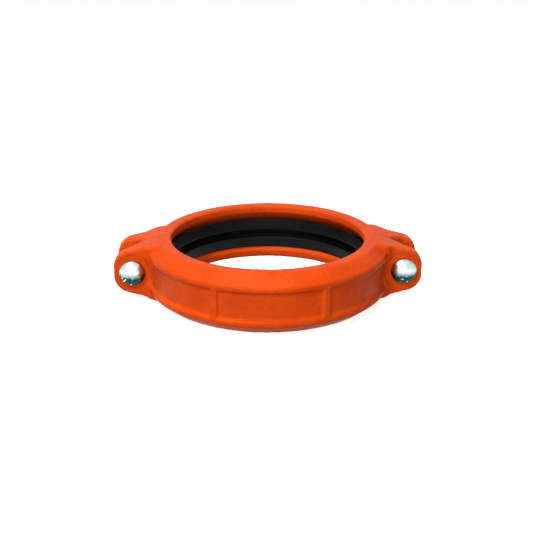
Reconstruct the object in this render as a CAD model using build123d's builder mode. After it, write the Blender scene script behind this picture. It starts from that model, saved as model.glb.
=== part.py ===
from build123d import *
from math import asin, cos, degrees, hypot, radians, sin, sqrt, tan
import os

os.makedirs("parts", exist_ok=True)

# Grooved pipe coupling, in millimetres. +Z is the pipe axis, the origin is the centre of the bore,
# the two housing halves meet at the plane Y = 0, their ears point along X, and the bolts run along Y
# with both heads at -Y.

# Pipe groove that the keys of the housing sit in
groove_diameter = 160.8
key_clearance = 0.5

# Housing section: depths are measured outwards from the key, heights along the pipe
housing_width = 49.4
housing_depth = 20.5
housing_wall = 4.9
rim_land = 10.1
shoulder_height = 8.3
flange_band = 3.9
outer_chamfer = 0.9
key_width = 6.2
key_edge_chamfer = 1.3
key_slope_depth = 7.7
pocket_chamfer = 1.6

# Recessed panels around the outside, and the two ribs between them
panel_depth = 2.2
rib_angle = 25.7
rib_width = 5.9
rib_round = 0.8

# Bolt ears: a tapering tongue with a rounded tip. On the split side it is scooped out to a wedge,
# and on the pad side a gusset rises to the ring above and below the spot face
bolt_gap = 11.3
pad_distance = 22.8
ear_tip_length = 15.2
ear_half_width = 19.0
ear_taper_angle = 14.5
ear_tip_round = 14.0
ear_shoulder_round = 14.0
ear_edge_round = 1.8
scoop_edge_chamfer = 1.4
scoop_reach = 9.4
scoop_depth = 11.0
scoop_angle = 42.0
scoop_round = 6.0
gusset_start = 9.7
gusset_end = 14.7
gusset_height = 4.6
gusset_round = 8.0
spot_face_radius = 16.8
spot_face_depth = 0.4
spot_face_corner = 2.0

# Track-head bolts with an oval neck, and their hexagon nuts
bolt_diameter = 12.0
bolt_length = 70.0
bolt_end_chamfer = 1.2
head_diameter = 21.6
head_height = 7.4
head_rim_height = 2.6
head_chamfer = 1.0
neck_length = 9.0
neck_margin = 0.8
neck_ovality = 3.8
neck_clearance = 0.3
nut_across_flats = 18.0
nut_height = 10.8
nut_chamfer_angle = 30.0
thread_clearance = 0.05

# Gasket: a rubber ring of C section whose two lips seal on the pipes. Unsqueezed, it lies dropped
# on the lower slope of the pocket
gasket_clearance = 0.3
gasket_drop = 1.8
gasket_wall = 3.0
lip_standoff = 0.6
lip_tip_gap = 6.8
lip_tip_thickness = 0.9
lip_nose_standoff = 2.1
lip_nose_width = 0.7
lip_thickness = 2.6

# How far a cutter runs past the surface it opens, and how near counts as the same place
cut_margin = 1.0
same_place = 0.01

# Places that follow from the sizes above
key_radius = groove_diameter / 2 + key_clearance
key_root_radius = key_radius + key_slope_depth
rim_radius = key_radius + rim_land
flange_radius = key_radius + housing_depth
panel_radius = flange_radius - panel_depth
pocket_radius = panel_radius - housing_wall
half_width = housing_width / 2
key_bottom = half_width - key_width
pocket_half_width = key_bottom - key_slope_depth
flange_half_width = half_width - shoulder_height
panel_half_width = flange_half_width - flange_band
bolt_offset = flange_radius + bolt_gap
tip_x = bolt_offset + ear_tip_length
root_x = key_radius + cut_margin
taper = tan(radians(ear_taper_angle))
taper_start_x = bolt_offset - (half_width - ear_half_width) / taper
tip_half_width = ear_half_width - ear_tip_length * taper
gusset_y = pad_distance + gusset_height
scoop_start_x = bolt_offset - scoop_reach
scoop_floor_x = scoop_start_x + scoop_depth / tan(radians(scoop_angle))
seat_distance = pad_distance - spot_face_depth
rib_half_angle = degrees(asin(rib_width / 2 / flange_radius))
neck_width = bolt_diameter + neck_margin
neck_span = neck_width + neck_ovality
front_angle = 270
front_half_axis = Axis((0, 0, 0), (0, 0, -1))


def radial_plane(angle):
    """Plane through the pipe axis whose X direction points outwards at this angle."""
    outwards = (cos(radians(angle)), sin(radians(angle)), 0)
    normal = (sin(radians(angle)), -cos(radians(angle)), 0)
    return Plane(origin=(0, 0, 0), x_dir=outwards, z_dir=normal)


# One bolt ear of the front half, on the +X side, as a form of its own
with BuildPart() as ear:
    with BuildSketch(Plane.XY.offset(-half_width)) as ear_plan:
        with BuildLine():
            Polyline(
                (root_x, 0),
                (tip_x, 0),
                (tip_x, -pad_distance),
                (bolt_offset - gusset_start, -pad_distance),
                (bolt_offset - gusset_end, -gusset_y),
                (root_x, -gusset_y),
                close=True,
            )
        make_face()
        gusset_corners = [v for v in ear_plan.vertices() if root_x < v.X < tip_x]
        fillet(gusset_corners, gusset_round)
    extrude(amount=housing_width)
    # The tongue as seen along the bolt
    with BuildSketch(Plane.XZ) as ear_face:
        with BuildLine():
            Polyline(
                (root_x, 0),
                (root_x, half_width),
                (taper_start_x, half_width),
                (tip_x, tip_half_width),
                (tip_x, 0),
            )
            mirror(about=Plane.XZ)
        make_face()
        fillet(ear_face.vertices().group_by(Axis.X)[-1], ear_tip_round)
        shoulder_corners = [v for v in ear_face.vertices() if abs(v.X - taper_start_x) < same_place]
        fillet(shoulder_corners, ear_shoulder_round)
    extrude(amount=gusset_y, mode=Mode.INTERSECT)
    # The scoop behind the pad, a wedge that opens towards the tip
    with BuildSketch(Plane.XY.offset(-half_width)) as scoop:
        with BuildLine():
            Polyline(
                (scoop_start_x, 0),
                (scoop_floor_x, -scoop_depth),
                (tip_x + cut_margin, -scoop_depth),
                (tip_x + cut_margin, 0),
                close=True,
            )
        make_face()
        fillet(scoop.vertices().sort_by_distance((scoop_floor_x, -scoop_depth))[0], scoop_round)
    extrude(amount=housing_width, mode=Mode.SUBTRACT)
    scoop_edges = [e for e in ear.edges(Select.LAST) if e.center().Y < -same_place]
    # Cast edges are bevelled round the scoop and rounded on the pad side
    chamfer(scoop_edges, scoop_edge_chamfer)
    pad_edges = [
        e
        for e in ear.edges()
        if e.center().X > root_x + same_place and e.center().Y < -pad_distance + same_place
    ]
    fillet(pad_edges, ear_edge_round)

with BuildPart() as housing_front:
    # Half ring turned from the outer outline of the section
    with BuildSketch(Plane.XZ) as ring_outline:
        with BuildLine():
            Polyline(
                (0, 0),
                (0, half_width),
                (rim_radius, half_width),
                (flange_radius, flange_half_width),
                (flange_radius, 0),
            )
            mirror(about=Plane.XZ)
        make_face()
        outer_corners = [v for v in ring_outline.vertices() if v.X > root_x and abs(v.Y) > same_place]
        chamfer(outer_corners, outer_chamfer)
    revolve(axis=front_half_axis, revolution_arc=180)
    # Three recessed panels with sloping sides, which leave the two ribs standing
    rib_edges = [
        180,
        front_angle - rib_angle,
        front_angle + rib_angle,
        360,
    ]
    for start, end in zip(rib_edges, rib_edges[1:]):
        with BuildSketch(radial_plane(start + rib_half_angle)):
            with BuildLine():
                Polyline(
                    (panel_radius, 0),
                    (panel_radius, panel_half_width - panel_depth),
                    (flange_radius + cut_margin, panel_half_width + cut_margin),
                    (flange_radius + cut_margin, 0),
                )
                mirror(about=Plane.XZ)
            make_face()
        revolve(
            axis=Axis.Z,
            revolution_arc=end - start - 2 * rib_half_angle,
            mode=Mode.SUBTRACT,
        )
    add(ear.part)
    mirror(ear.part, about=Plane.YZ)
    rib_corners = [
        e
        for e in housing_front.edges()
        if e.geom_type == GeomType.LINE
        and abs(e.length - 2 * panel_half_width) < same_place
        and abs(hypot(e.center().X, e.center().Y) - flange_radius) < same_place
    ]
    fillet(rib_corners, rib_round)
    # Spot faces that let the bolt heads and nuts sit flat beside the ring
    for side in (-1, 1):
        with BuildSketch(Plane.XY) as spot_face_section:
            with Locations((side * bolt_offset, -seat_distance)):
                Rectangle(
                    spot_face_radius,
                    gusset_height + spot_face_depth + cut_margin,
                    align=(Align.MIN, Align.MAX),
                )
            seat_corner = (side * bolt_offset + spot_face_radius, -seat_distance)
            chamfer(spot_face_section.vertices().sort_by_distance(seat_corner)[0], spot_face_corner)
        revolve(axis=Axis((side * bolt_offset, 0, 0), (0, 1, 0)), mode=Mode.SUBTRACT)
    # Inside form: the keys that enter the grooves, and the pocket for the gasket
    with BuildSketch(Plane.XZ) as core_section:
        with BuildLine():
            Polyline(
                (0, 0),
                (0, half_width + cut_margin),
                (key_radius + key_edge_chamfer, half_width + cut_margin),
                (key_radius + key_edge_chamfer, half_width),
                (key_radius, half_width - key_edge_chamfer),
                (key_radius, key_bottom),
                (key_root_radius, pocket_half_width),
                (pocket_radius, pocket_half_width),
                (pocket_radius, 0),
            )
            mirror(about=Plane.XZ)
        make_face()
        chamfer(core_section.vertices().group_by(Axis.X)[-1], pocket_chamfer)
    revolve(axis=Axis.Z, mode=Mode.SUBTRACT)
    # Oval bolt holes
    with BuildSketch(Plane.XZ):
        with Locations((bolt_offset, 0), (-bolt_offset, 0)):
            SlotOverall(neck_span + 2 * neck_clearance, neck_width + 2 * neck_clearance)
    extrude(amount=pad_distance + cut_margin, mode=Mode.SUBTRACT)
housing_front.part.label = "housing_front"
export_step(housing_front.part, "parts/housing_front.step")

# The rear half is the same casting, turned half round about the pipe
with BuildPart() as housing_rear:
    add(housing_front.part, rotation=(0, 0, 180))
housing_rear.part.label = "housing_rear"
export_step(housing_rear.part, "parts/housing_rear.step")

gasket_radius = pocket_radius - gasket_clearance
gasket_half_width = pocket_half_width - gasket_drop - gasket_clearance
gasket_slope_sum = key_root_radius + gasket_half_width
lip_tip_radius = key_radius + lip_standoff
lip_nose_radius = key_radius + lip_nose_standoff
lip_nose_height = gasket_slope_sum - lip_nose_radius - lip_nose_width
cavity_radius = gasket_radius - gasket_wall
cavity_half_width = gasket_half_width - gasket_wall
cavity_slope_sum = gasket_slope_sum - gasket_wall * sqrt(2)
lip_back_radius = lip_nose_radius + lip_thickness
dropped_section = Plane(origin=(0, 0, -gasket_drop), x_dir=(1, 0, 0), z_dir=(0, -1, 0))

with BuildPart() as gasket:
    with BuildSketch(dropped_section) as gasket_section:
        with BuildLine():
            Polyline(
                (gasket_radius, 0),
                (gasket_radius, gasket_half_width),
                (key_root_radius, gasket_half_width),
                (lip_nose_radius + lip_nose_width, lip_nose_height),
                (lip_nose_radius, lip_nose_height),
                (lip_tip_radius, lip_tip_gap / 2 + lip_tip_thickness),
                (lip_tip_radius + lip_tip_thickness, lip_tip_gap / 2),
                (lip_back_radius, cavity_slope_sum - lip_back_radius),
                (cavity_slope_sum - cavity_half_width, cavity_half_width),
                (cavity_radius, cavity_half_width),
                (cavity_radius, 0),
            )
            mirror(about=Plane.XZ)
        make_face()
        chamfer(gasket_section.vertices().group_by(Axis.X)[-1], pocket_chamfer)
    revolve(axis=Axis.Z)
gasket.part.label = "gasket"
export_step(gasket.part, "parts/gasket.step")

nut_corner_radius = nut_across_flats / 2 / cos(radians(30))
nut_corner_drop = (nut_corner_radius - nut_across_flats / 2) * tan(radians(nut_chamfer_angle))

for side, place in ((-1, "left"), (1, "right")):
    bolt_x = side * bolt_offset
    bolt_line = Axis((bolt_x, 0, 0), (0, 1, 0))

    with BuildPart() as bolt:
        with BuildSketch(Plane.XY) as bolt_section:
            with BuildLine():
                Polyline(
                    (bolt_x, -seat_distance - head_height),
                    (bolt_x, bolt_length - seat_distance),
                    (bolt_x + bolt_diameter / 2 - bolt_end_chamfer, bolt_length - seat_distance),
                    (bolt_x + bolt_diameter / 2, bolt_length - seat_distance - bolt_end_chamfer),
                    (bolt_x + bolt_diameter / 2, -seat_distance),
                    (bolt_x + head_diameter / 2, -seat_distance),
                    (bolt_x + head_diameter / 2, -seat_distance - head_rim_height),
                )
                TangentArc(
                    (bolt_x, -seat_distance - head_height),
                    (bolt_x + head_diameter / 2, -seat_distance - head_rim_height),
                    tangent=(1, 0),
                )
            make_face()
            rim_corner = (bolt_x + head_diameter / 2, -seat_distance - head_rim_height)
            chamfer(bolt_section.vertices().sort_by_distance(rim_corner)[0], head_chamfer)
        revolve(axis=bolt_line)
        with BuildSketch(Plane.XZ.offset(seat_distance)):
            with Locations((bolt_x, 0)):
                SlotOverall(neck_span, neck_width)
        extrude(amount=-neck_length)
    bolt.part.label = "bolt_" + place
    export_step(bolt.part, "parts/bolt_" + place + ".step")

    with BuildPart() as nut:
        with BuildSketch(Plane.XZ.offset(-seat_distance)):
            with Locations((bolt_x, 0)):
                RegularPolygon(nut_corner_radius, 6)
        extrude(amount=-nut_height)
        # Both faces are chamfered at the corners by a turned outline
        with BuildSketch(Plane.XY):
            with BuildLine():
                Polyline(
                    (bolt_x, seat_distance),
                    (bolt_x + nut_across_flats / 2, seat_distance),
                    (bolt_x + nut_corner_radius, seat_distance + nut_corner_drop),
                    (bolt_x + nut_corner_radius, seat_distance + nut_height - nut_corner_drop),
                    (bolt_x + nut_across_flats / 2, seat_distance + nut_height),
                    (bolt_x, seat_distance + nut_height),
                    close=True,
                )
            make_face()
        revolve(axis=bolt_line, mode=Mode.INTERSECT)
        with Locations(Plane.XZ.offset(-seat_distance)):
            with Locations((bolt_x, 0)):
                Hole(bolt_diameter / 2 + thread_clearance)
    nut.part.label = "nut_" + place
    export_step(nut.part, "parts/nut_" + place + ".step")
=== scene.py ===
"""Looks of a grooved pipe coupling: cast housings, gasket, fasteners, finishes and studio."""

import logging
from collections.abc import Callable, Iterator, Sequence
from contextlib import contextmanager
from dataclasses import dataclass
from enum import Enum
from math import atan2, cos, pi, radians, sin, tan

import bpy
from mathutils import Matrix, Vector


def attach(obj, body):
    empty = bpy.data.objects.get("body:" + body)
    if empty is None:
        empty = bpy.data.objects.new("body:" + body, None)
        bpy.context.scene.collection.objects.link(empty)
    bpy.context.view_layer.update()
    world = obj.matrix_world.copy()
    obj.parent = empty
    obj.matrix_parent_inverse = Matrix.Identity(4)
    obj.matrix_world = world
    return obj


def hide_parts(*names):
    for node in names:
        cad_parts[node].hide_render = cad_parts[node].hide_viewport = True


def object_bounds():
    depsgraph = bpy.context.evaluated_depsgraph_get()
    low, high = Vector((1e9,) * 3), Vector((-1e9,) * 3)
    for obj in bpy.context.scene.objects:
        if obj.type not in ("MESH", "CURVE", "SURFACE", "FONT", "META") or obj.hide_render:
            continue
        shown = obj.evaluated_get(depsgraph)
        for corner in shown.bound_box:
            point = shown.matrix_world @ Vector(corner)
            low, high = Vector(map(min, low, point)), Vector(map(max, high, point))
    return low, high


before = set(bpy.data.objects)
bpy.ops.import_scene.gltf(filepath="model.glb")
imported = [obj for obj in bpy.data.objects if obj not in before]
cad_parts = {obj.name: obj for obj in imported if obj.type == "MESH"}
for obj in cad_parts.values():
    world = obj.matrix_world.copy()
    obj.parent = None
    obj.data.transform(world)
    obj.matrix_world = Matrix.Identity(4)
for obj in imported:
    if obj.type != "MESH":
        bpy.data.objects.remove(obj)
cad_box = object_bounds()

log = logging.getLogger("coupling")

MM = 0.001
SAME_PLACE = 0.001 * MM
PICTURE_SIDE = 533


class Half(Enum):
    """The two housing halves, by the side of the parting plane that they lie on."""

    FRONT = "front"
    REAR = "rear"


class Side(Enum):
    """The two bolt ears, by the direction that they point in."""

    LEFT = -1
    RIGHT = 1


class Turning(Enum):
    """The lines that outlines are turned about."""

    PIPE = (0.0, 0.0, 1.0)
    BOLT = (0.0, 1.0, 0.0)

    def spot(self, out: float, along: float) -> Vector:
        """The point at a distance out along X and a place along the line."""
        return Vector((out, 0.0, 0.0)) + along * Vector(self.value)


@dataclass(frozen=True)
class Field:
    """A number that changes over a surface, with arithmetic that adds Math nodes."""

    tree: "ShaderTree"
    socket: bpy.types.NodeSocket

    def combine(self, operation: str, first: object, second: object = 0.0) -> "Field":
        """Joins two numbers by a Math node.

        Args:
            operation: The Math node's operation.
            first: A field or a plain number.
            second: A field or a plain number.

        Returns:
            The node's result.
        """
        node = self.tree.node("ShaderNodeMath", {"operation": operation}, {0: first, 1: second})
        return Field(self.tree, node.outputs[0])

    def __add__(self, other: object) -> "Field":
        """Sum with a field or a number."""
        return self.combine("ADD", self, other)

    __radd__ = __add__

    def __sub__(self, other: object) -> "Field":
        """Difference with a field or a number."""
        return self.combine("SUBTRACT", self, other)

    def __rsub__(self, other: object) -> "Field":
        """Difference from a number."""
        return self.combine("SUBTRACT", other, self)

    def __mul__(self, other: object) -> "Field":
        """Product with a field or a number."""
        return self.combine("MULTIPLY", self, other)

    __rmul__ = __mul__

    def size(self) -> "Field":
        """The number without its sign."""
        return self.combine("ABSOLUTE", self)

    def root(self) -> "Field":
        """The square root."""
        return self.combine("SQRT", self)

    def clamped(self) -> "Field":
        """The same number kept between 0 and 1."""
        node = self.tree.node("ShaderNodeClamp", {}, {0: self})
        return Field(self.tree, node.outputs[0])


class ShaderTree:
    """The node tree of one material or world, built from types, settings and values."""

    def __init__(self, name: str) -> None:
        """Starts an empty material.

        Args:
            name: The material's name.
        """
        self.material = bpy.data.materials.new(name)
        self.empty(self.material)
        self.place = self.node("ShaderNodeTexCoord").outputs["Object"]

    @classmethod
    def of_world(cls, world: bpy.types.World) -> "ShaderTree":
        """The empty tree of a world."""
        tree = cls.__new__(cls)
        tree.empty(world)
        return tree

    def empty(self, owner: bpy.types.ID) -> None:
        """Takes over the node tree of a material or world and clears it."""
        owner.use_nodes = True
        self.tree = owner.node_tree
        self.tree.nodes.clear()

    def node(self, kind: str, settings: dict | None = None, values: dict | None = None) -> bpy.types.Node:
        """Adds one node.

        Args:
            kind: The node's type name.
            settings: Properties to set before anything is linked.
            values: Socket keys with a field, a socket or a plain value for each.

        Returns:
            The new node.
        """
        made = self.tree.nodes.new(kind)
        for key, value in (settings or {}).items():
            setattr(made, key, value)
        for key, value in (values or {}).items():
            self.feed(made.inputs[key], value)
        return made

    def feed(self, socket: bpy.types.NodeSocket, value: object) -> None:
        """Links or sets one input socket.

        Args:
            socket: The input to fill.
            value: A field, an output socket or a plain value.
        """
        if isinstance(value, Field):
            value = value.socket
        if isinstance(value, bpy.types.NodeSocket):
            self.tree.links.new(value, socket)
        else:
            socket.default_value = value

    def noise(self, grain: float, detail: float = 2.0, roughness: float = 0.5, shift: float = 0.0) -> Field:
        """Fractal noise over the object.

        Args:
            grain: Size of the largest grain, in metres.
            detail: Number of finer octaves.
            roughness: Weight of the finer octaves.
            shift: Fourth coordinate, which sets apart patterns of one grain.

        Returns:
            The noise, from 0 to 1.
        """
        values = {"Vector": self.place, "W": shift, "Scale": 1 / grain, "Detail": detail, "Roughness": roughness}
        made = self.node("ShaderNodeTexNoise", {"noise_dimensions": "4D"}, values)
        return Field(self, made.outputs[0])

    def ramp(self, source: object, low: float, high: float) -> Field:
        """Stretches a number to 0 at low and 1 at high.

        Args:
            source: The number to stretch.
            low: Where the result is 0.
            high: Where the result is 1.

        Returns:
            The stretched number, kept between 0 and 1.
        """
        values = {"Value": source, "From Min": low, "From Max": high}
        made = self.node("ShaderNodeMapRange", {"interpolation_type": "SMOOTHSTEP"}, values)
        return Field(self, made.outputs[0])

    def blend(self, amount: object, first: object, second: object) -> bpy.types.NodeSocket:
        """Mixes two colours.

        Args:
            amount: Share of the second colour.
            first: A colour or a colour socket.
            second: A colour or a colour socket.

        Returns:
            The mixed colour.
        """
        made = self.node("ShaderNodeMix", {"data_type": "RGBA"}, {0: amount, 6: first, 7: second})
        return made.outputs[2]

    def bump(self, height: object, depth: float, below: object | None = None) -> bpy.types.NodeSocket:
        """Turns a height into a normal.

        Args:
            height: The height, from 0 to 1.
            depth: What a height of 1 stands for, in metres.
            below: A normal to work from.

        Returns:
            The normal.
        """
        values = {"Height": height, "Distance": depth, "Strength": 1.0}
        if below is not None:
            values["Normal"] = below
        return self.node("ShaderNodeBump", {}, values).outputs[0]

    def surface(self, values: dict) -> bpy.types.Material:
        """Closes the tree with a Principled surface.

        Args:
            values: Socket names with a value or link for each.

        Returns:
            The finished material.
        """
        shader = self.node("ShaderNodeBsdfPrincipled", {}, values)
        self.node("ShaderNodeOutputMaterial", {}, {"Surface": shader.outputs[0]})
        return self.material


def linear(red: int, green: int, blue: int) -> tuple[float, float, float, float]:
    """Converts a display colour to the linear values that a shader takes.

    Args:
        red: Red, 0 to 255.
        green: Green, 0 to 255.
        blue: Blue, 0 to 255.

    Returns:
        Linear red, green and blue, and an alpha of 1.
    """
    channels = [c / 255 for c in (red, green, blue)]
    toe = [c / 12.92 if c <= 0.04045 else ((c + 0.055) / 1.055) ** 2.4 for c in channels]
    return (*toe, 1.0)


@dataclass(frozen=True)
class Corner:
    """One corner of a turned outline, in metres: distance from the line, place along it, and rounding."""

    out: float
    along: float
    rounding: float = 0.0


class Workpiece:
    """One mesh while it is being modelled, with the steps that shape it."""

    round_steps = 5

    def __init__(self, name: str, obj: bpy.types.Object) -> None:
        """Takes an object over.

        Args:
            name: The piece's name.
            obj: The object to shape.
        """
        self.obj = obj
        obj.name = name

    @classmethod
    def start(cls, name: str, primitive: Callable, **settings: object) -> "Workpiece":
        """Starts from a primitive at its size and place.

        Args:
            name: The piece's name.
            primitive: The operator that adds it.
            settings: The operator's own settings.

        Returns:
            The new workpiece, with its place in its mesh.
        """
        bpy.ops.object.select_all(action="DESELECT")
        primitive(**settings)
        bpy.ops.object.transform_apply(location=True, rotation=True, scale=True)
        return cls(name, bpy.context.object)

    @classmethod
    def copy_of(cls, name: str, source: bpy.types.Object) -> "Workpiece":
        """Starts from a copy of another object, with a mesh of its own.

        Args:
            name: The piece's name.
            source: The object to copy.

        Returns:
            The new workpiece.
        """
        obj = bpy.data.objects.new(name, source.data.copy())
        bpy.context.scene.collection.objects.link(obj)
        return cls(name, obj)

    @classmethod
    def turned(cls, name: str, line: Turning, outline: Sequence[Corner], steps: int) -> "Workpiece":
        """Turns an outline into a closed body.

        Args:
            name: The piece's name.
            line: The line to turn it about.
            outline: Its corners, either back to the first one or with both ends on the line.
            steps: Number of steps in the full turn.

        Returns:
            The turned body.
        """
        places = [line.spot(corner.out, corner.along) for corner in outline]
        made = cls.start(name, bpy.ops.mesh.primitive_plane_add, size=MM, location=places[0])
        with made.shaping():
            bpy.ops.mesh.merge(type="CENTER")
            for here, ahead in zip(places, places[1:]):
                bpy.ops.mesh.extrude_vertices_move(TRANSFORM_OT_translate={"value": ahead - here})
        made.close_seams()
        for corner, place in zip(outline, places):
            if corner.rounding:
                made.round_corner(place, corner.rounding)
        with made.shaping():
            bpy.ops.mesh.spin(steps=steps, angle=2 * pi, center=(0, 0, 0), axis=line.value)
        made.close_seams()
        return made

    @contextmanager
    def shaping(self, action: str = "SELECT") -> Iterator[None]:
        """Opens the mesh in edit mode and closes it again.

        Args:
            action: What happens to its selection first, SELECT or DESELECT.
        """
        self.activate()
        bpy.ops.object.mode_set(mode="EDIT")
        bpy.ops.mesh.select_mode(type="VERT")
        bpy.ops.mesh.select_all(action=action)
        yield
        bpy.ops.object.mode_set(mode="OBJECT")

    def activate(self) -> None:
        """Makes this the only selected object."""
        bpy.ops.object.select_all(action="DESELECT")
        bpy.context.view_layer.objects.active = self.obj
        self.obj.select_set(True)

    def pick(self, chosen: Callable[[Vector], bool]) -> None:
        """Selects vertices of the open mesh by their place.

        Args:
            chosen: Says whether the vertex at a place is selected.
        """
        bpy.ops.object.mode_set(mode="OBJECT")
        for part in (self.obj.data.vertices, self.obj.data.edges, self.obj.data.polygons):
            part.foreach_set("select", [False] * len(part))
        for vertex in self.obj.data.vertices:
            vertex.select = chosen(vertex.co)
        bpy.ops.object.mode_set(mode="EDIT")

    def round_corner(self, place: Vector, rounding: float) -> None:
        """Rounds one corner of an outline that isn't turned yet.

        Args:
            place: Where the corner is.
            rounding: How far from the corner the curve starts, in metres.
        """
        with self.shaping("DESELECT"):
            self.pick(lambda spot: (spot - place).length < SAME_PLACE)
            bpy.ops.mesh.bevel(offset=rounding, segments=self.round_steps, affect="VERTICES")

    def close_seams(self) -> None:
        """Merges doubles and points all faces outwards."""
        with self.shaping():
            bpy.ops.mesh.remove_doubles(threshold=SAME_PLACE)
            bpy.ops.mesh.normals_make_consistent(inside=False)

    def modify(self, kind: str, **settings: object) -> None:
        """Adds a modifier and applies it.

        Args:
            kind: The modifier's type.
            settings: The modifier's own settings.
        """
        modifier = self.obj.modifiers.new(kind.lower(), kind)
        for key, value in settings.items():
            setattr(modifier, key, value)
        self.activate()
        bpy.ops.object.modifier_apply(modifier=modifier.name)

    def combine(self, operation: str, tool: "Workpiece") -> None:
        """Joins, cuts or trims the piece by another one, which is used up.

        Args:
            operation: UNION, DIFFERENCE or INTERSECT.
            tool: The other piece.
        """
        self.modify("BOOLEAN", operation=operation, object=tool.obj, solver="EXACT")
        bpy.data.objects.remove(tool.obj)

    def smooth(self, angle: float) -> None:
        """Shades the piece smooth, with sharp edges above an angle.

        Args:
            angle: The angle, in degrees.
        """
        self.activate()
        bpy.ops.object.shade_smooth_by_angle(angle=radians(angle))

    def shift(self, across: float) -> None:
        """Moves the mesh along X.

        Args:
            across: How far, in metres.
        """
        self.activate()
        bpy.ops.transform.translate(value=(across, 0, 0))
        bpy.ops.object.transform_apply(location=True)

    def settle(self, material: bpy.types.Material, slot: str, body: str, node: str) -> None:
        """Dresses the finished piece and puts it in the place of a node.

        Args:
            material: The finish.
            slot: The material slot's name, which is not used.
            body: The body that it moves with.
            node: The node that it stands for.
        """
        self.obj.data.materials.clear()
        self.obj.data.materials.append(material)
        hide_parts(node)
        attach(self.obj, body)
        faces = sum(len(polygon.vertices) - 2 for polygon in self.obj.data.polygons)
        log.info("%s: %d triangles, stands for %s, moves with %s", self.obj.name, faces, node, body)


@dataclass(frozen=True)
class HousingCasting:
    """One sand-cast housing half, with the softened edges and uneven skin of a casting."""

    voxel: float = 0.85 * MM
    softening: float = 0.5
    softening_rounds: int = 1
    waves: tuple = ((7.0 * MM, 0.35 * MM), (2.6 * MM, 0.3 * MM))

    def build(self, half: Half, paint: bpy.types.Material) -> None:
        """Casts one half.

        Args:
            half: Which half.
            paint: Its finish.
        """
        node = "housing_" + half.value
        casting = Workpiece.copy_of(half.value + "_casting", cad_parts[node])
        casting.close_seams()
        casting.modify("REMESH", mode="VOXEL", voxel_size=self.voxel)
        casting.modify("SMOOTH", factor=self.softening, iterations=self.softening_rounds)
        for size, height in self.waves:
            skin = bpy.data.textures.new("casting_skin", "CLOUDS")
            skin.noise_scale = size
            skin.noise_depth = 1
            casting.modify("DISPLACE", texture=skin, texture_coords="LOCAL", strength=height, mid_level=0.5)
        casting.smooth(180)
        casting.settle(paint, "orange_paint", half.value + "_half", node)


@dataclass(frozen=True)
class SealRing:
    """The rubber gasket: a C section with two lips that face the pipes."""

    drop: float = 1.8 * MM
    back_radius: float = 94.0 * MM
    back_half_width: float = 8.7 * MM
    shoulder_radius: float = 88.6 * MM
    wall: float = 3.0 * MM
    nose_radius: float = 83.0 * MM
    nose_half_width: float = 13.6 * MM
    nose_width: float = 0.7 * MM
    tip_radius: float = 81.5 * MM
    tip_half_gap: float = 3.4 * MM
    tip_thickness: float = 0.9 * MM
    lip_thickness: float = 2.6 * MM
    steps: int = 192

    def section(self) -> list[Corner]:
        """The upper half of the section, from the back's middle to the cavity's middle."""
        cavity_radius = self.back_radius - self.wall
        cavity_half_width = self.back_half_width - self.wall
        cavity_sum = self.shoulder_radius + self.back_half_width - self.wall * 2**0.5
        lip_back = self.nose_radius + self.lip_thickness
        return [
            Corner(self.back_radius, self.back_half_width, 1.8 * MM),
            Corner(self.shoulder_radius, self.back_half_width, 0.9 * MM),
            Corner(self.nose_radius + self.nose_width, self.nose_half_width, 0.3 * MM),
            Corner(self.nose_radius, self.nose_half_width, 0.3 * MM),
            Corner(self.tip_radius, self.tip_half_gap + self.tip_thickness, 0.4 * MM),
            Corner(self.tip_radius + self.tip_thickness, self.tip_half_gap, 0.4 * MM),
            Corner(lip_back, cavity_sum - lip_back, 0.8 * MM),
            Corner(cavity_sum - cavity_half_width, cavity_half_width, 0.8 * MM),
            Corner(cavity_radius, cavity_half_width, 1.2 * MM),
        ]

    def build(self, rubber: bpy.types.Material) -> None:
        """Moulds the ring.

        Args:
            rubber: Its finish.
        """
        upper = self.section()
        lower = [Corner(corner.out, -corner.along, corner.rounding) for corner in reversed(upper)]
        outline = [Corner(c.out, c.along - self.drop, c.rounding) for c in upper + lower]
        outline.append(Corner(outline[0].out, outline[0].along))
        ring = Workpiece.turned("rubber_gasket", Turning.PIPE, outline, self.steps)
        ring.smooth(40)
        ring.settle(rubber, "black_rubber", "front_half", "gasket")


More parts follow.
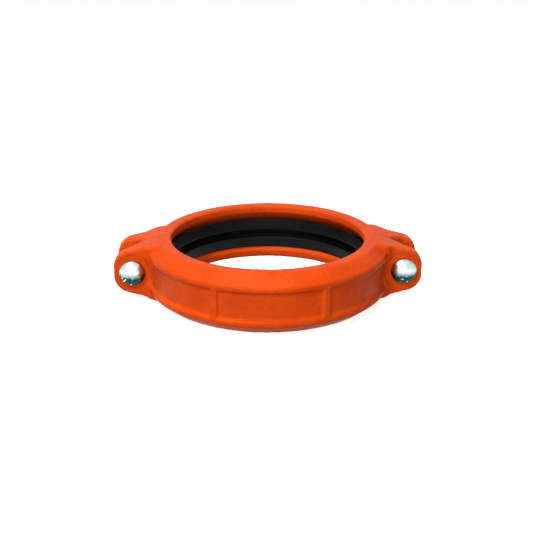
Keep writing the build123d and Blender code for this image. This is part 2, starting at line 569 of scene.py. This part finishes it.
@dataclass(frozen=True)
class TrackBolt:
    """The bolt: domed round head, oval neck, shank and rolled right-hand thread."""

    offset: float = 112.7 * MM
    seat: float = 22.4 * MM
    radius: float = 6.0 * MM
    tip: float = 47.6 * MM
    head_radius: float = 10.8 * MM
    head_height: float = 7.4 * MM
    rim_height: float = 2.6 * MM
    rim_round: float = 1.1 * MM
    neck_length: float = 9.0 * MM
    neck_width: float = 12.8 * MM
    neck_span: float = 16.6 * MM
    pitch: float = 1.75 * MM
    thread_start: float = 8.0 * MM
    crest_radius: float = 5.94 * MM
    root_radius: float = 4.95 * MM
    tip_radius: float = 4.7 * MM
    dome_steps: int = 12
    steps: int = 64
    thread_steps: int = 32

    def head_and_shank(self) -> Workpiece:
        """Turns the head and the plain shank."""
        top = -self.seat - self.head_height
        dome = self.head_height - self.rim_height
        dome_radius = (self.head_radius**2 + dome**2) / (2 * dome)
        spread = atan2(self.head_radius, dome_radius - dome)
        turns = [spread * step / self.dome_steps for step in range(self.dome_steps)]
        outline = [Corner(dome_radius * sin(t), top + dome_radius * (1 - cos(t))) for t in turns]
        outline += [
            Corner(self.head_radius, top + dome, self.rim_round),
            Corner(self.head_radius, -self.seat, 0.35 * MM),
            Corner(self.radius, -self.seat),
            Corner(self.radius, self.thread_start),
            Corner(self.root_radius - 0.2 * MM, self.thread_start + self.radius - self.root_radius),
            Corner(0.0, self.thread_start + self.radius - self.root_radius),
        ]
        return Workpiece.turned("track_bolt", Turning.BOLT, outline, self.steps)

    def neck(self) -> Workpiece:
        """Shapes the oval neck, which reaches into the head."""
        overlap = MM
        length = self.neck_length + overlap
        neck = Workpiece.start(
            "neck",
            bpy.ops.mesh.primitive_cube_add,
            size=1,
            scale=(self.neck_span, length, self.neck_width),
            location=(0, -self.seat - overlap + length / 2, 0),
        )
        with neck.shaping("DESELECT"):
            bpy.ops.object.mode_set(mode="OBJECT")
            places = neck.obj.data.vertices
            for edge in neck.obj.data.edges:
                ends = [places[index].co for index in edge.vertices]
                edge.select = abs(ends[0].y - ends[1].y) > SAME_PLACE
            bpy.ops.object.mode_set(mode="EDIT")
            bpy.ops.mesh.select_mode(type="EDGE")
            bpy.ops.mesh.bevel(offset=0.99 * self.neck_width / 2, segments=10, affect="EDGES")
        return neck

    def thread(self) -> Workpiece:
        """Winds the thread and cuts its ends flat, with a chamfered tip."""
        begin = self.thread_start - 2 * self.pitch
        rounds = int((self.tip - begin) / self.pitch) + 3
        flat = self.pitch / 8
        profile = [
            Corner(self.root_radius, 0.0),
            Corner(self.root_radius, flat),
            Corner(self.crest_radius, self.pitch / 2 - flat / 2),
            Corner(self.crest_radius, self.pitch / 2 + 3 * flat / 2),
            Corner(self.root_radius, self.pitch),
        ]
        places = [Turning.BOLT.spot(c.out, begin + c.along) for c in profile]
        thread = Workpiece.start("thread", bpy.ops.mesh.primitive_plane_add, size=MM, location=places[0])
        with thread.shaping():
            bpy.ops.mesh.merge(type="CENTER")
            for here, ahead in zip(places, places[1:]):
                bpy.ops.mesh.extrude_vertices_move(TRANSFORM_OT_translate={"value": ahead - here})
        thread.modify(
            "SCREW",
            axis="Y",
            angle=2 * pi,
            screw_offset=self.pitch,
            iterations=rounds,
            steps=self.thread_steps,
            render_steps=self.thread_steps,
            use_merge_vertices=True,
            merge_threshold=SAME_PLACE,
        )
        thread.close_seams()
        for place, outwards in ((begin + 1.2 * self.pitch, -1), (self.tip, 1)):
            with thread.shaping():
                bpy.ops.mesh.bisect(
                    plane_co=(0, place, 0), plane_no=(0, outwards, 0), use_fill=True, clear_outer=True
                )
        thread.close_seams()
        reach = self.head_radius
        cone = Workpiece.turned(
            "cone",
            Turning.BOLT,
            [
                Corner(0.0, begin),
                Corner(reach, begin),
                Corner(reach, self.tip + MM - (reach - self.tip_radius + MM)),
                Corner(self.tip_radius - MM, self.tip + MM),
                Corner(0.0, self.tip + MM),
            ],
            self.steps,
        )
        thread.combine("INTERSECT", cone)
        return thread

    def build(self, zinc: bpy.types.Material) -> None:
        """Makes one bolt, then places a copy in each ear.

        Args:
            zinc: The finish.
        """
        bolt = self.head_and_shank()
        bolt.combine("UNION", self.thread())
        bolt.combine("UNION", self.neck())
        bolt.smooth(35)
        for side in Side:
            place = side.name.lower()
            copy = Workpiece.copy_of("track_bolt_" + place, bolt.obj)
            copy.shift(side.value * self.offset)
            copy.settle(zinc, "bright_zinc", "front_half", "bolt_" + place)
        bpy.data.objects.remove(bolt.obj)


@dataclass(frozen=True)
class HexNut:
    """The heavy hexagon nut on each bolt."""

    offset: float = 112.7 * MM
    seat: float = 22.4 * MM
    height: float = 10.8 * MM
    flats: float = 18.0 * MM
    chamfer_angle: float = 30.0
    bore_radius: float = 6.05 * MM
    countersink: float = 0.75 * MM
    steps: int = 96

    def build(self, zinc: bpy.types.Material) -> None:
        """Makes one nut, then places a copy behind each ear.

        Args:
            zinc: The finish.
        """
        corner = self.flats / 2 / cos(radians(30))
        drop = (corner - self.flats / 2) * tan(radians(self.chamfer_angle))
        top = self.seat + self.height
        nut = Workpiece.start(
            "hex_nut",
            bpy.ops.mesh.primitive_cylinder_add,
            vertices=6,
            radius=corner,
            depth=self.height,
            rotation=(radians(90), radians(30), 0),
            location=(0, self.seat + self.height / 2, 0),
        )
        reach = 2 * MM
        rise = reach * tan(radians(self.chamfer_angle))
        facing = Workpiece.turned(
            "facing",
            Turning.BOLT,
            [
                Corner(0.0, self.seat + drop - rise),
                Corner(corner - reach, self.seat + drop - rise),
                Corner(corner + reach, self.seat + drop + rise),
                Corner(corner + reach, top - drop - rise),
                Corner(corner - reach, top - drop + rise),
                Corner(0.0, top - drop + rise),
            ],
            self.steps,
        )
        nut.combine("INTERSECT", facing)
        bore = Workpiece.turned(
            "bore",
            Turning.BOLT,
            [
                Corner(0.0, self.seat - MM),
                Corner(self.bore_radius + self.countersink + MM, self.seat - MM),
                Corner(self.bore_radius, self.seat + self.countersink),
                Corner(self.bore_radius, top - self.countersink),
                Corner(self.bore_radius + self.countersink + MM, top + MM),
                Corner(0.0, top + MM),
            ],
            self.steps,
        )
        nut.combine("DIFFERENCE", bore)
        nut.modify("BEVEL", width=0.18 * MM, segments=2, limit_method="ANGLE", angle_limit=radians(25))
        nut.smooth(35)
        for side in Side:
            place = side.name.lower()
            copy = Workpiece.copy_of("hex_nut_" + place, nut.obj)
            copy.shift(side.value * self.offset)
            copy.settle(zinc, "bright_zinc", place + "_nut", "nut_" + place)
        bpy.data.objects.remove(nut.obj)


@dataclass(frozen=True)
class CastPaint:
    """Glossy orange paint over sand-cast iron."""

    colour: tuple = linear(230, 81, 18)
    deep_colour: tuple = linear(206, 60, 11)
    grain: float = 2.4 * MM
    sand: float = 0.9 * MM
    cloud: float = 30 * MM

    def make(self) -> bpy.types.Material:
        """Builds the finish."""
        tree = ShaderTree("orange_cast_paint")
        peel = tree.noise(self.grain, 3.0, 0.6)
        sand = tree.noise(self.sand, 2.0, 0.7, 3.0)
        cloud = tree.noise(self.cloud, 3.0, 0.6, 11.0)
        speck = tree.ramp(sand, 0.62, 0.78)
        colour = tree.blend(tree.ramp(cloud, 0.3, 0.7) * 0.5, self.colour, self.deep_colour)
        colour = tree.blend(speck * 0.35, colour, self.deep_colour)
        normal = tree.bump(peel, 0.7 * MM)
        normal = tree.bump(sand, 0.2 * MM, normal)
        return tree.surface(
            {
                "Base Color": colour,
                "Roughness": 0.27 + 0.14 * tree.ramp(peel, 0.3, 0.7),
                "Specular IOR Level": 0.04,
                "Normal": normal,
            }
        )


@dataclass(frozen=True)
class MouldedRubber:
    """Black moulded rubber with a soft sheen."""

    colour: tuple = linear(5, 6, 8)
    bloom: tuple = linear(17, 18, 21)

    def make(self) -> bpy.types.Material:
        """Builds the finish."""
        tree = ShaderTree("black_rubber")
        cloud = tree.noise(14 * MM, 3.0, 0.6)
        grain = tree.noise(0.5 * MM, 2.0, 0.6, 5.0)
        return tree.surface(
            {
                "Base Color": tree.blend(tree.ramp(cloud, 0.35, 0.75) * 0.5, self.colour, self.bloom),
                "Roughness": 0.42 + 0.16 * tree.ramp(cloud, 0.3, 0.7),
                "Specular IOR Level": 0.1,
                "Normal": tree.bump(grain, 0.02 * MM),
            }
        )


@dataclass(frozen=True)
class BrightZinc:
    """Bright zinc plating on steel, with a painted dark blue-green reflection on the lower side and round the
    head's rim.
    """

    name: str = "bright_zinc"
    # Strength of the painted dark reflection: 1 on the bolts, less on the nuts.
    depth: float = 1.0
    colour: tuple = linear(232, 236, 234)
    stain: tuple = linear(168, 196, 196)
    # Colour of the painted reflection: a dark teal that stands in for a dark floor mirrored in the zinc.
    painted_reflection: tuple = linear(14, 58, 58)
    # Heights over which the painted reflection fades out going up the head.
    painted_reflection_top: float = 3.5 * MM
    painted_reflection_bottom: float = -4.5 * MM
    bolt_offset: float = 112.7 * MM
    # Radii over which the painted reflection deepens towards the head's rim.
    rim: tuple = (8.0 * MM, 11.4 * MM)

    def make(self) -> bpy.types.Material:
        """Builds the finish."""
        tree = ShaderTree(self.name)
        cloud = tree.noise(5 * MM, 3.0, 0.6)
        grain = tree.noise(0.8 * MM, 2.0, 0.6, 5.0)
        place = tree.node("ShaderNodeSeparateXYZ", {}, {0: tree.place})
        across = Field(tree, place.outputs["X"]).size() - self.bolt_offset
        height = Field(tree, place.outputs["Z"])
        radius = (across * across + height * height).root()
        # Painted reflection: darker towards the lower side of the head, then deepened towards the rim.
        painted_reflection = 1 - tree.ramp(height + 5 * MM * cloud - 2.5 * MM, self.painted_reflection_bottom, self.painted_reflection_top)
        painted_reflection = painted_reflection + 0.5 * tree.ramp(radius, *self.rim)
        # Noise patches that lift the painted reflection and leave bright zinc showing.
        reflection_gaps = tree.ramp(tree.noise(2.2 * MM, 1.0, 0.5, 9.0), 0.62, 0.68)
        painted_reflection = (self.depth * painted_reflection * (1 - 0.8 * reflection_gaps)).clamped()
        colour = tree.blend(tree.ramp(cloud, 0.35, 0.7) * 0.6, self.colour, self.stain)
        return tree.surface(
            {
                "Base Color": tree.blend(painted_reflection, colour, self.painted_reflection),
                "Metallic": 1.0,
                "Roughness": 0.16 + 0.14 * tree.ramp(cloud, 0.3, 0.7),
                "Normal": tree.bump(grain, 0.02 * MM),
            }
        )


@dataclass(frozen=True)
class Studio:
    """Camera, floor, world and lamps."""

    eye: tuple = (-19.0 * MM, -793.8 * MM, 297.0 * MM)
    aim: tuple = (-1.0 * MM, 0.0, -4.2 * MM)
    focal_pixels: float = 996.1
    sensor: float = 36.0
    world_light: float = 0.22
    floor_radius: float = 6.0
    floor_shown: tuple = (0.8, 0.8, 0.8, 1.0)
    floor_lift: float = 0.76
    floor_bounce: tuple = (0.2, 0.2, 0.2, 1.0)
    white: tuple = (1.0, 1.0, 1.0, 1.0)

    def camera(self) -> None:
        """Places the camera as the photograph was taken."""
        data = bpy.data.cameras.new("camera")
        data.sensor_width = self.sensor
        data.lens = self.focal_pixels / PICTURE_SIDE * self.sensor
        data.clip_start = 0.01
        eye = bpy.data.objects.new("camera", data)
        bpy.context.scene.collection.objects.link(eye)
        eye.location = self.eye
        eye.rotation_euler = (Vector(self.aim) - Vector(self.eye)).to_track_quat("-Z", "Y").to_euler()
        bpy.context.scene.camera = eye

    def shown(self, tree: ShaderTree) -> Field:
        """Whether a ray comes from the camera, a gloss or a clear body."""
        path = tree.node("ShaderNodeLightPath")
        seen = Field(tree, path.outputs["Is Camera Ray"]) + Field(tree, path.outputs["Is Glossy Ray"])
        return (seen + Field(tree, path.outputs["Is Transmission Ray"])).clamped()

    def world(self) -> None:
        """Soft white surroundings, which light the object and show as white."""
        world = bpy.data.worlds.new("surroundings")
        bpy.context.scene.world = world
        tree = ShaderTree.of_world(world)
        light = tree.node("ShaderNodeBackground", {}, {"Color": self.white, "Strength": self.world_light})
        shown = tree.node("ShaderNodeBackground", {}, {"Color": self.white, "Strength": 1.0})
        mix = tree.node("ShaderNodeMixShader", {}, {0: self.shown(tree), 1: light.outputs[0], 2: shown.outputs[0]})
        tree.node("ShaderNodeOutputWorld", {}, {"Surface": mix.outputs[0]})

    def floor(self) -> None:
        """Adds the plain pale floor under the coupling, which shows as white and keeps the shadow."""
        floor = Workpiece.start(
            "floor",
            bpy.ops.mesh.primitive_circle_add,
            vertices=64,
            radius=self.floor_radius,
            fill_type="NGON",
            location=(0, 0, cad_box[0][2]),
        )
        tree = ShaderTree("floor_white")
        plain = tree.node("ShaderNodeBsdfDiffuse", {}, {"Color": self.floor_bounce})
        pale = tree.node("ShaderNodeBsdfDiffuse", {}, {"Color": self.floor_shown})
        lift = tree.node("ShaderNodeEmission", {}, {"Color": self.white, "Strength": self.floor_lift})
        seen = tree.node("ShaderNodeAddShader", {}, {0: pale.outputs[0], 1: lift.outputs[0]})
        mix = tree.node("ShaderNodeMixShader", {}, {0: self.shown(tree), 1: plain.outputs[0], 2: seen.outputs[0]})
        tree.node("ShaderNodeOutputMaterial", {}, {"Surface": mix.outputs[0]})
        floor.obj.data.materials.append(tree.material)

    def lamp(self, name: str, place: tuple, side: float, power: float) -> None:
        """Adds one square soft lamp that faces the coupling.

        Args:
            name: The lamp's name.
            place: Where it stands, in metres.
            side: Its side, in metres.
            power: Its power, in watts.
        """
        data = bpy.data.lights.new(name, "AREA")
        data.shape = "SQUARE"
        data.size = side
        data.energy = power
        lamp = bpy.data.objects.new(name, data)
        bpy.context.scene.collection.objects.link(lamp)
        lamp.location = place
        lamp.rotation_euler = (-Vector(place)).to_track_quat("-Z", "Y").to_euler()

    def build(self) -> None:
        """Sets up the whole studio."""
        self.camera()
        self.world()
        self.floor()
        self.lamp("top_softbox", (-0.25, -0.1, 1.2), 0.1, 7.0)
        self.lamp("key_softbox", (-0.5, -0.8, 1.1), 0.35, 9.0)
        self.lamp("fill_softbox", (-0.2, -1.4, 0.5), 0.9, 10.0)
        bpy.context.scene.view_settings.view_transform = "Standard"


def main() -> None:
    """Builds the coupling's pieces and the studio in order."""
    logging.basicConfig(level=logging.INFO)
    paint = CastPaint().make()
    casting = HousingCasting()
    for half in Half:
        casting.build(half, paint)
    SealRing().build(MouldedRubber().make())
    # Both zinc finishes carry a painted dark reflection on the lower side; on the nuts it is at 0.4 strength.
    TrackBolt().build(BrightZinc("bright_zinc").make())
    HexNut().build(BrightZinc("bright_zinc_nut", 0.4).make())
    Studio().build()


if __name__ == "__main__":
    main()
